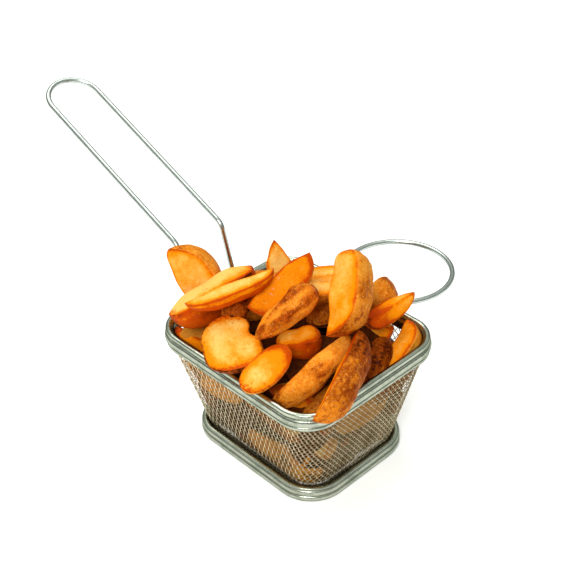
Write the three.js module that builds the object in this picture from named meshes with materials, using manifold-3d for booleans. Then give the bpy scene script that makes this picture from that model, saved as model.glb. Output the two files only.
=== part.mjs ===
// Potato wedges heaped in a small serving basket of woven steel wire.
// The basket has a beaded rim, tapered walls, a beaded foot ring, a long wire handle on one side
// and a round helper loop on the next side. Millimetres, +Z up. The basket stands on z = 0.
import * as THREE from 'three';
import { mergeVertices } from 'three/addons/utils/BufferGeometryUtils.js';
import Module from 'manifold-3d';

const wasm = await Module();
wasm.setup();

// ---------------------------------------------------------------- driving dimensions
const GAP = 0.3;                      // clear space left between pieces that touch
const CORNER_STEPS = 5;               // straight steps round each corner of the basket

const RIM = { halfX: 60.6, halfY: 51.9, corner: 19.7, bottom: 62.5, top: 73 };
const FOOT = { halfX: 51, halfY: 41.4, corner: 22, height: 8.8 };
const MESH = { wall: 0.8, topInset: 3.6, slotTop: 69.9, floor: 4.5 };
const MESH_TOP = {
  halfX: RIM.halfX - MESH.topInset,
  halfY: RIM.halfY - MESH.topInset,
  corner: RIM.corner - MESH.topInset,
};
const MESH_BASE = { halfX: 45.4, halfY: 36, corner: 15 };
const WIRE = { radius: 1.5, sides: 8 };
const HANDLE = { offset: -5, halfGap: 15.7, foot: 63, knee: 73, kneeBend: 20, endBend: 8 };
const HANDLE_BEND = { x: -70.1, z: 104.2 };
const HANDLE_END = { x: -191.2, z: 158.2 };
const HELPER = { radius: 31.3, reach: 29.1, height: 70, footBend: 5, footGap: 1 };
// The packed inside of the heap: [share of the way out to the mesh, height].
const HEAP = [[1, 54], [0.84, 64], [0.67, 74], [0.5, 80], [0.32, 84], [0.12, 86]];

// ---------------------------------------------------------------- colours and finishes
const STEEL = { color: 0xc3c8c0, roughness: 0.28, metalness: 1 };
const WOVEN_STEEL = { color: 0x9a9788, roughness: 0.4, metalness: 0.9 };
const POTATO = { color: 0xe08a28, roughness: 0.55, metalness: 0 };
const BROWNED_POTATO = { color: 0xa8571a, roughness: 0.6, metalness: 0 };

// ---------------------------------------------------------------- small helpers
const degrees = THREE.MathUtils.degToRad;

// Builds one geometry from rings of points that all have the same count.
// The rings are joined in order; `closed` joins the last ring to the first, otherwise each end gets a cap.
function loft(rings, closed = false) {
  const count = rings[0].length;
  const points = rings.flat();
  const faces = [];
  const last = closed ? rings.length : rings.length - 1;
  for (let ring = 0; ring < last; ring += 1) {
    const here = ring * count;
    const next = ((ring + 1) % rings.length) * count;
    for (let i = 0; i < count; i += 1) {
      const j = (i + 1) % count;
      faces.push(here + i, here + j, next + j, here + i, next + j, next + i);
    }
  }
  if (!closed) {
    for (const [ring, flip] of [[0, true], [rings.length - 1, false]]) {
      const middle = new THREE.Vector3();
      rings[ring].forEach((point) => middle.addScaledVector(point, 1 / count));
      const hub = points.push(middle) - 1;
      for (let i = 0; i < count; i += 1) {
        const a = ring * count + i;
        const b = ring * count + (i + 1) % count;
        faces.push(hub, flip ? b : a, flip ? a : b);
      }
    }
  }
  const geometry = new THREE.BufferGeometry().setFromPoints(points);
  geometry.setIndex(faces);
  return geometry;
}

// Solids for joins and cuts.
function toSolid(geometry) {
  const bare = geometry.clone();
  bare.deleteAttribute('normal');
  bare.deleteAttribute('uv');
  const merged = mergeVertices(bare, 1e-4);
  return new wasm.Manifold(new wasm.Mesh({
    numProp: 3,
    vertProperties: new Float32Array(merged.attributes.position.array),
    triVerts: new Uint32Array(merged.index.array),
  }));
}

function toGeometry(solid) {
  const { vertProperties, triVerts } = solid.getMesh();
  const geometry = new THREE.BufferGeometry();
  geometry.setAttribute('position', new THREE.BufferAttribute(new Float32Array(vertProperties), 3));
  geometry.setIndex(new THREE.BufferAttribute(new Uint32Array(triVerts), 1));
  return geometry;
}

// The same surface moved outwards along its vertex normals, for cuts that leave a gap.
function grown(geometry, by = GAP * 1.25) {
  const bare = geometry.clone();
  bare.deleteAttribute('normal');
  bare.deleteAttribute('uv');
  const merged = mergeVertices(bare, 1e-4);
  merged.computeVertexNormals();
  const { position, normal } = merged.attributes;
  for (let i = 0; i < position.count; i += 1) {
    position.setXYZ(
      i,
      position.getX(i) + normal.getX(i) * by,
      position.getY(i) + normal.getY(i) * by,
      position.getZ(i) + normal.getZ(i) * by,
    );
  }
  return merged;
}

// Of a solid that a cut has split, the largest piece.
function largestPiece(solid) {
  return solid.decompose().reduce((best, piece) => (piece.volume() > best.volume() ? piece : best));
}

// ---------------------------------------------------------------- the basket's rounded rectangle
// Points of a rounded rectangle at one height, inset from the given half sizes.
function roundedLoop({ halfX, halfY, corner }, inset, z) {
  const radius = Math.max(corner - inset, 1);
  const cx = halfX - inset - radius;
  const cy = halfY - inset - radius;
  const points = [];
  [[cx, cy], [-cx, cy], [-cx, -cy], [cx, -cy]].forEach(([x, y], quarter) => {
    for (let step = 0; step <= CORNER_STEPS; step += 1) {
      const turn = (quarter + step / CORNER_STEPS) * Math.PI / 2;
      points.push(new THREE.Vector3(x + radius * Math.cos(turn), y + radius * Math.sin(turn), z));
    }
  });
  return points;
}

// A band carried round the rounded rectangle. The section is a closed list of [inset, height] pairs,
// in order so that the outer side climbs and the inner side comes down.
function band(outline, section) {
  return loft(section.map(([inset, z]) => roundedLoop(outline, inset, z)), true);
}

// One rolled bead of a section: a bulge from the groove below to the groove above.
function bead(groove, from, to, depth, steps = 3) {
  return Array.from({ length: steps + 1 }, (_, i) => {
    const turn = (i / steps) * Math.PI;
    return [groove - depth * Math.sin(turn), from + (to - from) * (1 - Math.cos(turn)) / 2];
  });
}

function rimBand() {
  const skirt = 5.3;                  // inner face of the inner skirt
  const slot = [MESH.topInset - GAP, MESH.topInset + MESH.wall + GAP];
  return band(RIM, [
    ...bead(1.6, RIM.bottom, 65.3, 0.8, 2),          // thin lower lip
    ...bead(1.6, 65.3, 69.9, 1.6, 4).slice(1),       // broad middle bead
    ...bead(1.6, 69.9, 72.2, 0.9, 2).slice(1, 2),    // top roll, outer side
    [1.4, 72.7], [2.3, RIM.top], [3.3, 72.5],        // crown of the roll
    [4.1, 71.6], [skirt, 71.3], [skirt, 63.6],       // ledge and inner skirt
    [slot[1], 63.6], [slot[1], MESH.slotTop + GAP],  // slot that holds the top of the mesh
    [slot[0], MESH.slotTop + GAP], [slot[0], RIM.bottom],
  ]);
}

function footRing() {
  const inner = 3;                    // inner face of the ring
  const ledge = 9;                    // the ledge that carries the mesh floor reaches this far in
  const ledgeTop = MESH.floor - GAP;
  return band(FOOT, [
    [0.9, 0], ...bead(1.2, 0.5, 4.4, 1.2, 4).slice(1),   // lower bead
    ...bead(1.2, 4.4, FOOT.height, 1.1, 4).slice(1, 4),  // upper bead
    [1.6, FOOT.height], [2.5, 8.6], [inner, 7.8],
    [inner, ledgeTop], [ledge, ledgeTop], [ledge, ledgeTop - 1.1],
    [inner, ledgeTop - 1.1], [inner - 0.1, 0],
  ]);
}

// The woven basket as one thin open-topped shell with a floor.
function meshBasket() {
  const turn = 2.4;                   // height of the rounded turn between wall and floor
  return loft([
    roundedLoop(MESH_BASE, 2.6, MESH.floor),
    roundedLoop(MESH_BASE, 0.6, MESH.floor + 0.8),
    roundedLoop(MESH_BASE, 0, MESH.floor + turn),
    roundedLoop(MESH_TOP, 0, RIM.bottom),
    roundedLoop(MESH_TOP, 0, MESH.slotTop),
    roundedLoop(MESH_TOP, MESH.wall, MESH.slotTop),
    roundedLoop(MESH_TOP, MESH.wall, RIM.bottom),
    roundedLoop(MESH_BASE, MESH.wall, MESH.floor + turn + 0.3),
    roundedLoop(MESH_BASE, 0.6 + MESH.wall, MESH.floor + 0.8 + MESH.wall),
    roundedLoop(MESH_BASE, 3, MESH.floor + MESH.wall),
  ]);
}

// ---------------------------------------------------------------- bent wires
// A path through hand-set stations, one step of the sweep for each.
class WirePath extends THREE.Curve {
  constructor(stations) {
    super();
    this.stations = stations;
  }

  getPoint(t) {
    const place = t * (this.stations.length - 1);
    const index = Math.min(Math.floor(place), this.stations.length - 2);
    return this.stations[index].clone().lerp(this.stations[index + 1], place - index);
  }

  getPointAt(t) {
    return this.getPoint(t);
  }

  getTangentAt(t) {
    const step = 0.5 / (this.stations.length - 1);
    const before = this.getPoint(Math.max(t - step, 0));
    return this.getPoint(Math.min(t + step, 1)).sub(before).normalize();
  }
}

// Stations along straight runs with a round bend of the given radius at each inner corner.
function bentRun(corners, radii, steps = 4) {
  const stations = [corners[0]];
  for (let i = 1; i < corners.length - 1; i += 1) {
    const into = corners[i].clone().sub(corners[i - 1]).normalize();
    const away = corners[i + 1].clone().sub(corners[i]).normalize();
    const half = into.angleTo(away) / 2;
    const cut = radii[i - 1] * Math.tan(half);
    const start = corners[i].clone().addScaledVector(into, -cut);
    const toHub = away.clone().sub(into).normalize();
    const hub = corners[i].clone().addScaledVector(toHub, radii[i - 1] / Math.cos(half));
    const axis = into.clone().cross(away).normalize();
    const arm = start.clone().sub(hub);
    for (let step = 0; step <= steps; step += 1) {
      stations.push(hub.clone().add(arm.clone().applyAxisAngle(axis, 2 * half * step / steps)));
    }
  }
  stations.push(corners[corners.length - 1]);
  return stations;
}

function wire(stations) {
  const round = new THREE.Path().absarc(0, 0, WIRE.radius, 0, Math.PI * 2).getPoints(WIRE.sides);
  const section = new THREE.Shape(round.slice(0, -1));
  return new THREE.ExtrudeGeometry(section, {
    steps: stations.length - 1,
    extrudePath: new WirePath(stations),
    curveSegments: WIRE.sides,
    bevelEnabled: false,
  });
}

// One wire goes up the rim, leans out, bends over and comes back round the far end of the handle.
function handle() {
  const rimX = -(RIM.halfX + WIRE.radius + GAP);
  const leg = (y) => [
    new THREE.Vector3(rimX, y, HANDLE.foot),
    new THREE.Vector3(rimX, y, HANDLE.knee),
    new THREE.Vector3(HANDLE_BEND.x, y, HANDLE_BEND.z),
  ];
  const near = leg(HANDLE.offset - HANDLE.halfGap);
  const far = leg(HANDLE.offset + HANDLE.halfGap);
  const along = new THREE.Vector3(HANDLE_END.x - HANDLE_BEND.x, 0, HANDLE_END.z - HANDLE_BEND.z).normalize();
  const tip = new THREE.Vector3(HANDLE_END.x, HANDLE.offset, HANDLE_END.z);
  const hub = tip.addScaledVector(along, -HANDLE.halfGap);
  const sideways = new THREE.Vector3(0, -HANDLE.halfGap, 0);
  const end = Array.from({ length: 13 }, (_, i) => {
    const turn = (i / 12) * Math.PI;
    return hub.clone()
      .addScaledVector(sideways, Math.cos(turn))
      .addScaledVector(along, HANDLE.halfGap * Math.sin(turn));
  });
  const up = bentRun([...near, end[0]], [HANDLE.kneeBend, HANDLE.endBend]);
  const down = bentRun([end[12], ...far.reverse()], [HANDLE.endBend, HANDLE.kneeBend]);
  return wire([...up.slice(0, -1), ...end, ...down.slice(1)]);
}

// The helper loop is a level circle whose two feet turn inwards and lie along the rim.
function helperLoop() {
  const rimY = RIM.halfY + WIRE.radius + GAP;
  const hubY = RIM.halfY + HELPER.reach;
  const open = Math.acos((hubY - rimY - HELPER.footBend) / (HELPER.radius - HELPER.footBend));
  const bendX = (HELPER.radius - HELPER.footBend) * Math.sin(open);
  const foot = (side) => {
    const stations = [new THREE.Vector3(side * HELPER.footGap, rimY, HELPER.height)];
    for (let step = 0; step <= 4; step += 1) {
      const turn = open * step / 4;
      stations.push(new THREE.Vector3(
        side * (bendX + HELPER.footBend * Math.sin(turn)),
        rimY + HELPER.footBend * (1 - Math.cos(turn)),
        HELPER.height,
      ));
    }
    return stations;
  };
  const steps = 26;
  const round = Array.from({ length: steps - 1 }, (_, i) => {
    const turn = -Math.PI / 2 + open + (2 * Math.PI - 2 * open) * (i + 1) / steps;
    const [x, y] = [HELPER.radius * Math.cos(turn), hubY + HELPER.radius * Math.sin(turn)];
    return new THREE.Vector3(x, y, HELPER.height);
  });
  return wire([...foot(1), ...round, ...foot(-1).reverse()]);
}

// ---------------------------------------------------------------- potato wedges
// A wedge is a lengthwise slice of a potato: two cut faces meet at a ridge, and skin closes the back.
//   from, to   the two tips, which are the ends of the ridge
//   roll       turn of the skin side about the length, 0 with the skin straight up
//   width      across the skin, from one skin edge to the other
//   depth      from the ridge to the middle of the skin
//   edge       how far up the depth the skin edges sit: near 0 for a flat slice, 0.6 for a quarter
//   blunt      how full each tip is, taper how fast the section grows from the tips
//   bow        bend of the length towards the skin, flare makes the far half larger
//   lift       how far up the depth each tip sits: 0 at the ridge, 0.5 midway to the skin
//   notch      a dent in one side: [place along the length, side, depth, length]
//   seed       picks the wedge's own slow bumps
const WEDGES = {
  wedge_01: {
    from: [62, -50, 78], to: [37, 6, 86], roll: 70, width: 19, depth: 15, edge: 0.6,
    blunt: [3.2, 3], taper: 0.5, bow: 1, flare: -0.1, seed: 1,
  },
  wedge_02: {
    from: [28, -45, 66], to: [35, 3, 86], roll: 80, width: 17, depth: 14,
    blunt: [3, 2.6], taper: 0.5, bow: -1, flare: -0.08, seed: 2,
  },
  wedge_03: {
    from: [-17, -35, 91], to: [12, -51, 82], roll: -175, width: 31, depth: 11, edge: 0.12,
    blunt: [2.8, 3], taper: 0.48, flare: 0.06, notch: [-0.3, -1, 0.29, 0.26], wobble: 0.015, seed: 3,
  },
  wedge_04: {
    from: [24, -59, 80], to: [22, -27, 88], roll: -165, width: 18, depth: 10, edge: 0.12,
    blunt: [2.3, 2.6], taper: 0.5, wobble: 0.02, seed: 4,
  },
  wedge_05: {
    from: [6, -34, 88], to: [12, 3, 103], roll: 45, width: 16, depth: 13, edge: 0.45,
    blunt: [2, 3.4], flare: 0.15, seed: 5,
  },
  wedge_06: {
    from: [2, -18, 81], to: [17, 0, 85], roll: 155, width: 25, depth: 18, edge: 0.35,
    blunt: [2.6, 3.4], taper: 0.5, lift: [0.3, 0.4], seed: 6,
  },
  wedge_07: {
    from: [34, -12, 92], to: [10, 16, 119], roll: 90, width: 28, depth: 22, edge: 0.66,
    blunt: [2.8, 3.3], taper: 0.48, bow: 1, lift: [0, 0.4], seed: 7,
  },
  wedge_08: {
    from: [-50, -47, 84], to: [-35, 0, 99], roll: 120, width: 25, depth: 22, edge: 0.58,
    blunt: [3, 3], taper: 0.48, bow: -4, lift: [0.12, 0.1], seed: 8,
  },
  wedge_09: {
    from: [-29, -50, 101], to: [-7, -8, 112], roll: 145, width: 14, depth: 11,
    blunt: [2.4, 2.4], bow: -1, seed: 9,
  },
  wedge_10: {
    from: [-11, -24, 94], to: [-2, 13, 114], roll: -180, width: 22, depth: 19, edge: 0.6,
    blunt: [3.6, 2.2], bow: -4, seed: 10,
  },
  wedge_11: {
    from: [-49, -30, 74], to: [-65, -37, 107], roll: 60, width: 27, depth: 25, edge: 0.62,
    blunt: [2.4, 2.3], bow: 1, flare: -0.08, lift: [0, 0.25], wobble: 0.02, seed: 11,
  },
  wedge_12: {
    from: [-18, 9, 86], to: [-29, 13, 110], roll: -180, width: 14, depth: 9, edge: 0.12,
    blunt: [2.4, 1.3], taper: 0.9, seed: 12,
  },
  wedge_13: {
    from: [-11, 8, 92], to: [11, 27, 96], roll: 160, width: 18, depth: 13, edge: 0.4,
    blunt: [2.6, 2.8], taper: 0.5, seed: 13,
  },
  wedge_14: {
    from: [15, 36, 77], to: [20, 49, 91], roll: 80, width: 20, depth: 15,
    blunt: [2.6, 3], taper: 0.52, seed: 14,
  },
  wedge_15: {
    from: [36, 14, 87], to: [42, 46, 93], roll: -155, width: 13, depth: 11,
    blunt: [3.2, 1.9], taper: 0.6, seed: 15,
  },
  wedge_16: {
    from: [18, 25, 75], to: [38, 35, 73], roll: -170, width: 18, depth: 13, edge: 0.45,
    blunt: [2.6, 2.6], taper: 0.52, seed: 16,
  },
  wedge_17: {
    from: [45, 11, 60], to: [39, 44, 75], roll: 130, width: 20, depth: 15, edge: 0.45,
    blunt: [2.6, 3.4], taper: 0.48, seed: 17,
  },
  wedge_18: {
    from: [52, -3, 60], to: [35, 30, 66], roll: 20, width: 14, depth: 12,
    blunt: [2.6, 2.6], seed: 18,
  },
  wedge_19: {
    from: [-53, -39, 68], to: [-26, -34, 64], roll: 170, width: 20, depth: 13, edge: 0.45,
    blunt: [2.6, 2.6], seed: 19,
  },
  wedge_20: {
    from: [-18, -34, 83], to: [-26, -12, 91], roll: 30, width: 15, depth: 12,
    blunt: [3.2, 2.8], taper: 0.48, seed: 20,
  },
  wedge_21: {
    from: [-19, -20, 66], to: [5, -11, 66], roll: -160, width: 18, depth: 13, edge: 0.4,
    blunt: [2.4, 2.4], taper: 0.6, seed: 21,
  },
  wedge_22: {
    from: [15, -36, 53], to: [40, -22, 55], roll: 50, width: 17, depth: 13, edge: 0.4,
    blunt: [2.6, 2.6], seed: 22,
  },
  wedge_23: {
    from: [7, 11, 64], to: [-6, 26, 74], roll: -15, width: 15, depth: 12,
    blunt: [2.6, 2.6], seed: 23,
  },
  wedge_24: {
    from: [-19, 19, 87], to: [7, 36, 93], roll: -145, width: 17, depth: 12, edge: 0.4,
    blunt: [2.6, 2.8], taper: 0.5, seed: 24,
  },
  wedge_25: {
    from: [-48, -16, 67], to: [-48, 30, 66], roll: 30, width: 20, depth: 14,
    blunt: [2.4, 2.4], seed: 25,
  },
  wedge_26: {
    from: [-41, 38, 59], to: [-7, 34, 61], roll: -20, width: 17, depth: 13,
    blunt: [2.4, 2.6], seed: 26,
  },
  wedge_27: {
    from: [-10, 33, 64], to: [22, 37, 56], roll: 20, width: 18, depth: 14,
    blunt: [2.4, 2.4], seed: 27,
  },
  wedge_28: {
    from: [-37, 11, 77], to: [-15, 33, 85], roll: -150, width: 19, depth: 14,
    blunt: [2.4, 2.4], seed: 28,
  },
  wedge_29: {
    from: [22, 34, 62], to: [40, 4, 58], roll: 160, width: 18, depth: 14,
    blunt: [2.4, 2.4], seed: 29,
  },
  wedge_30: {
    from: [-27, -16, 73], to: [-35, 20, 81], roll: 60, width: 18, depth: 14,
    blunt: [2.4, 2.4], seed: 30,
  },
};
const LENGTH_STEPS = 7;
const ROUND_STEPS = 10;
const EDGE_SHARPNESS = 14;            // higher is a sharper cut edge

// Three phases between 0 and 2 pi from a whole number, the same each run.
function phases(seed) {
  return Array.from({ length: 3 }, (_, i) => ((seed * 12.9898 + i * 78.233) * 1.7) % (2 * Math.PI));
}

function wedge(spec, lengthSteps = LENGTH_STEPS, roundSteps = ROUND_STEPS) {
  const {
    from, to, roll, width, depth, edge = 0.5, blunt = [2.5, 2.5], taper = 0.55,
    bow = 0, flare = 0, notch = null, seed = 1, wobble = 0.04, lift = [0, 0],
  } = spec;
  const start = new THREE.Vector3(...from);
  const along = new THREE.Vector3(...to).sub(start);
  const length = along.length();
  along.normalize();
  const up = new THREE.Vector3(0, 0, 1).addScaledVector(along, -along.z).normalize();
  const skinward = up.clone().applyAxisAngle(along, degrees(roll));
  const across = skinward.clone().cross(along);

  const half = Math.atan2(width / 2, edge * depth);    // angle from the skin side to each cut face
  const core = 0.45 * depth;                           // height of the section's inner point over the ridge
  const faceDistance = core * Math.sin(half);
  const skinA = width / 2 / Math.sqrt(1 - edge * edge);
  const [p1, p2, p3] = phases(seed);

  const rings = [];
  for (let i = 1; i < lengthSteps; i += 1) {
    const s = -Math.cos(Math.PI * (i - 0.4) / (lengthSteps - 0.8));
    const swell = (1 - Math.abs(s) ** (s < 0 ? blunt[0] : blunt[1])) ** taper;
    const fullness = swell * (1 + flare * s);
    const rise = bow * (1 - s * s) + lift[s < 0 ? 0 : 1] * depth * (1 - swell);
    const ring = [];
    for (let j = 0; j < roundSteps; j += 1) {
      const turn = 2 * Math.PI * (j + 0.5) / roundSteps;
      const [c, n] = [Math.cos(turn), Math.sin(turn)];
      const right = Math.max(Math.cos(half) * c - Math.sin(half) * n, 0) / faceDistance;
      const left = Math.max(-Math.cos(half) * c - Math.sin(half) * n, 0) / faceDistance;
      const qa = (c / skinA) ** 2 + (n / depth) ** 2;
      const qb = 2 * core * n / depth ** 2;
      const qc = (core / depth) ** 2 - 1;
      const skin = (2 * qa) / (-qb + Math.sqrt(qb * qb - 4 * qa * qc));
      const k = EDGE_SHARPNESS;
      let reach = (right ** k + left ** k + skin ** k) ** (-1 / k);
      reach *= 1 + wobble * (Math.sin(4.2 * s + p1 + turn) + 0.7 * Math.sin(6.3 * s + p2 - 2 * turn)
        + 0.5 * Math.sin(6 * s + p3 + 3 * turn));
      if (notch) {
        const aside = Math.acos(THREE.MathUtils.clamp(c * notch[1], -1, 1));
        reach *= 1 - notch[2] * Math.exp(-(((s - notch[0]) / notch[3]) ** 2) - (aside / 0.9) ** 2);
      }
      ring.push(start.clone()
        .addScaledVector(along, length * (s + 1) / 2)
        .addScaledVector(across, reach * c * fullness)
        .addScaledVector(skinward, (core + reach * n) * fullness + rise));
    }
    rings.push(ring);
  }
  return loft(rings);
}

// ---------------------------------------------------------------- the wedges below the top layer
// Height of the heap's inside over a point: a dome that stays below any wedge lying over the point.
function heapHeight(point, dome, above) {
  const below = new THREE.Vector3(point.x, point.y, MESH.floor);
  const ray = new THREE.Raycaster(below, new THREE.Vector3(0, 0, 1));
  const hits = ray.intersectObjects(above);
  return hits.length ? Math.min(dome, hits[0].point.z - 1) : dome;
}

// One solid stands for the packed wedges out of sight: it fills the mesh and rises between the
// wedges of the top layer.
function heapBelow(above) {
  const clear = MESH.wall + GAP + 0.2;
  const shoulder = roundedLoop(MESH_TOP, clear + 4, 0);
  const surface = HEAP.map(([scale, dome]) => (
    shoulder.map(({ x, y }) => {
      const point = new THREE.Vector3(x * scale, y * scale, 0);
      return point.setZ(heapHeight(point, dome, above));
    })
  ));
  return loft([
    roundedLoop(MESH_BASE, 3.4, MESH.floor + MESH.wall + GAP),
    roundedLoop(MESH_BASE, clear + 0.8, MESH.floor + 3),
    roundedLoop(MESH_TOP, clear + 5.5, 44),
    ...surface,
  ]);
}

// ---------------------------------------------------------------- assembly
function piece(name, geometry, finish) {
  const mesh = new THREE.Mesh(geometry, new THREE.MeshStandardMaterial(finish));
  mesh.name = name;
  return mesh;
}

const basket = [
  piece('foot_ring', footRing(), STEEL),
  piece('mesh_basket', meshBasket(), WOVEN_STEEL),
  piece('rim_band', rimBand(), STEEL),
  piece('handle', handle(), STEEL),
  piece('helper_loop', helperLoop(), STEEL),
];

// Each wedge is cut clear of the metal and of the wedges listed before it.
const metal = basket.map((part) => toSolid(grown(part.geometry)));
const placed = [];
const wedges = Object.entries(WEDGES).map(([name, spec]) => {
  const geometry = wedge(spec);
  let solid = toSolid(geometry);
  for (const other of [...metal, ...placed]) solid = solid.subtract(other);
  placed.push(toSolid(grown(geometry)));
  return piece(name, toGeometry(largestPiece(solid)), POTATO);
});

let below = toSolid(heapBelow(wedges));
for (const other of [...metal, ...placed]) below = below.subtract(other);

const part = new THREE.Group();
part.add(...basket, ...wedges, piece('wedges_below', toGeometry(largestPiece(below)), BROWNED_POTATO));

// The frame's origin is the middle of the whole, on the floor.
const reach = new THREE.Box3().setFromObject(part);
part.position.set(-(reach.min.x + reach.max.x) / 2, -(reach.min.y + reach.max.y) / 2, -reach.min.z);

export default part;
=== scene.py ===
# %% [markdown]
# # Potato wedges in a small serving basket
#
# The real object is a portion of roasted potato wedges served in a little fryer basket: a tapered
# sleeve of woven stainless wire between two rolled steel bands, a long wire handle on one side and
# a round helper loop on the next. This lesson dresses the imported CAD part, and each piece stands
# where its CAD node stands.

import math

import bpy
import numpy as np
from mathutils import Matrix, Vector


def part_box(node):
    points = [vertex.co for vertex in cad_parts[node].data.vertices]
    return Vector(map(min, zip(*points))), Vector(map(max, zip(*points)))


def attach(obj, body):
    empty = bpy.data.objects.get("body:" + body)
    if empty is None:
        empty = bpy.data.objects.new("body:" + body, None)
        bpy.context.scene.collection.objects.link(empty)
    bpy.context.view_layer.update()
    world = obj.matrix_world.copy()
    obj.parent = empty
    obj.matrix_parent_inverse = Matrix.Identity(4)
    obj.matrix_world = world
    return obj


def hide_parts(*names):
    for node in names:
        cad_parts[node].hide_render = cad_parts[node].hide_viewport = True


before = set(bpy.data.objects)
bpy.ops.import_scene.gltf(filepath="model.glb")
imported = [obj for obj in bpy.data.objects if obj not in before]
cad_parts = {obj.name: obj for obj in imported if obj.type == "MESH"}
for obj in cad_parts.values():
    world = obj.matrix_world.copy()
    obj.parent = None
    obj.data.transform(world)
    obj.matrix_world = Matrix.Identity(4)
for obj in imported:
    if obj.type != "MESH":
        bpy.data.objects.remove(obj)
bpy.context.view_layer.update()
rim_low, rim_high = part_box("rim_band")
MM = 0.001
CENTRE = np.array([(rim_low[0] + rim_high[0]) / 2, (rim_low[1] + rim_high[1]) / 2, 0.0])
print("basket centre in the row frame, mm:", np.round(CENTRE / MM, 2))

# %% [markdown]
# ## Putting a computed surface into a mesh
#
# Every new piece is a surface worked out with numpy, in millimetres from the middle of the basket.
# One function turns such points and faces into a mesh, in metres in the row's frame. The arrays go
# in with foreach_set, which is much faster than adding vertices one by one.

# %% Grid helpers
def unit(vectors):
    """Each vector divided by its own length."""
    return vectors / np.linalg.norm(vectors, axis=-1, keepdims=True)


def grid_faces(rows, columns, close_rows=False):
    """Quads over a grid whose columns wrap round: corner (i, j), (i, j+1), (i+1, j+1), (i+1, j)."""
    i = np.arange(rows if close_rows else rows - 1)[:, None]
    j = np.arange(columns)[None, :]
    here, there = i * columns, (i + 1) % rows * columns
    step = (j + 1) % columns
    return np.stack([here + j, here + step, there + step, there + j], axis=-1).reshape(-1, 4)


def cap_faces(rows, columns):
    """Triangles from two pole points, stored after a grid, to its first and its last ring."""
    j = np.arange(columns)
    step, last, pole = (j + 1) % columns, (rows - 1) * columns, rows * columns
    near = np.stack([step, j, np.full(columns, pole)], axis=-1)
    far = np.stack([last + j, last + step, np.full(columns, pole + 1)], axis=-1)
    return np.concatenate([near, far])


# %% Object and mesh helpers
def add_object(name, data):
    """An object with its data, linked to the scene."""
    made = bpy.data.objects.new(name, data)
    bpy.context.scene.collection.objects.link(made)
    return made


def add_piece(name, points, quads, ends=None, values=None, material=None):
    """One mesh object from points in mm, its faces, and named values for each point.

    The faces are turned to point outwards: six times the volume inside them is the sum of each
    face's first corner times the cross product of its next two, and it has to be positive.
    """
    faces = [quads] if ends is None else [quads, ends]
    fans = [face[:, [0, k, k + 1]] for face in faces for k in range(1, face.shape[1] - 1)]
    a, b, c = (points[np.concatenate(fans)[:, k]] for k in range(3))
    if np.einsum("ij,ij->", a, np.cross(b, c)) < 0:
        faces = [face[:, ::-1] for face in faces]
    corners = np.concatenate([face.ravel() for face in faces]).astype(np.int32)
    sizes = np.concatenate([np.full(len(face), face.shape[1]) for face in faces])
    starts = np.concatenate([[0], np.cumsum(sizes)[:-1]]).astype(np.int32)
    mesh = bpy.data.meshes.new(name)
    mesh.vertices.add(len(points))
    mesh.vertices.foreach_set("co", (points * MM + CENTRE).astype(np.float32).ravel())
    mesh.loops.add(len(corners))
    mesh.loops.foreach_set("vertex_index", corners)
    mesh.polygons.add(len(sizes))
    mesh.polygons.foreach_set("loop_start", starts)
    mesh.update(calc_edges=True)
    mesh.validate()
    mesh.shade_smooth()
    for label, value in (values or {}).items():
        layer = mesh.attributes.new(label, "FLOAT", "POINT")
        layer.data.foreach_set("value", value.astype(np.float32).ravel())
    mesh.materials.append(material)
    print(f"{name}: {len(points)} points, {int((sizes - 2).sum())} triangles")
    return add_object(name, mesh)


def dress(piece, slot, *nodes):
    """The piece rides with the part and stands for the CAD nodes. The slot is not used."""
    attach(piece, "root")
    if nodes:
        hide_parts(*nodes)


# %% [markdown]
# ## Bumps that are the same each run
#
# Roasted potato and rolled steel are never quite even. Value noise gives soft bumps: each corner of
# a lattice has a height worked out from its whole-number place, and the heights are blended
# smoothly between. It needs no random generator, so it never changes.

# %% Noise helper
def bumps(points, size, seed, octaves=1):
    """Smooth noise from -1 to 1 with bumps of about the given size in mm; each octave halves it.

    A corner's height is a hash: its three whole numbers times three primes, added up, mixed by
    shifts and products, and cut to 16 bits.
    """
    primes = np.array([73856093, 19349663, 83492791])
    total = np.zeros(points.shape[:-1])
    for octave in range(octaves):
        place = points / (size / 2**octave) + 17.3 * (seed + octave)
        cell = np.floor(place).astype(np.int64)
        part = place - cell
        part = part * part * (3 - 2 * part)
        for corner in range(8):
            side = np.array([corner & 1, corner >> 1 & 1, corner >> 2 & 1])
            key = ((cell + side) * primes).sum(axis=-1)
            key = (key ^ (key >> 13)) * 1274126177 + seed * 7919
            height = ((key ^ (key >> 15)) & 65535) / 32767.5 - 1
            total += height * np.prod(np.where(side, part, 1 - part), axis=-1) / 2**octave
    return total / (2 - 2.0 ** (1 - octaves))


# %% [markdown]
# ## Colours and shader nodes
#
# Colours are picked as sRGB hex values, as on a screen, and Blender's shaders want linear ones. A
# node is always added in the same way, so one small function does it for every kind. Each finish is
# built alike: noise and values stored on the mesh are summed into masks, and colours are laid one
# over another where the masks let them show.

# %% Colour and node helpers
def linear(colour):
    """sRGB to linear: c / 12.92 where c is at most 0.04045, else ((c + 0.055) / 1.055) ** 2.4."""
    channels = np.array([int(colour[i:i + 2], 16) for i in (1, 3, 5)]) / 255
    low, high = channels / 12.92, ((channels + 0.055) / 1.055) ** 2.4
    return (*np.where(channels <= 0.04045, low, high), 1.0)


def fill_inputs(tree, node, inputs):
    """Each named input of a node is linked to a socket, or set to a plain value."""
    for label, value in inputs.items():
        if isinstance(value, bpy.types.NodeSocket):
            tree.links.new(value, node.inputs[label])
        else:
            node.inputs[label].default_value = value


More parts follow.
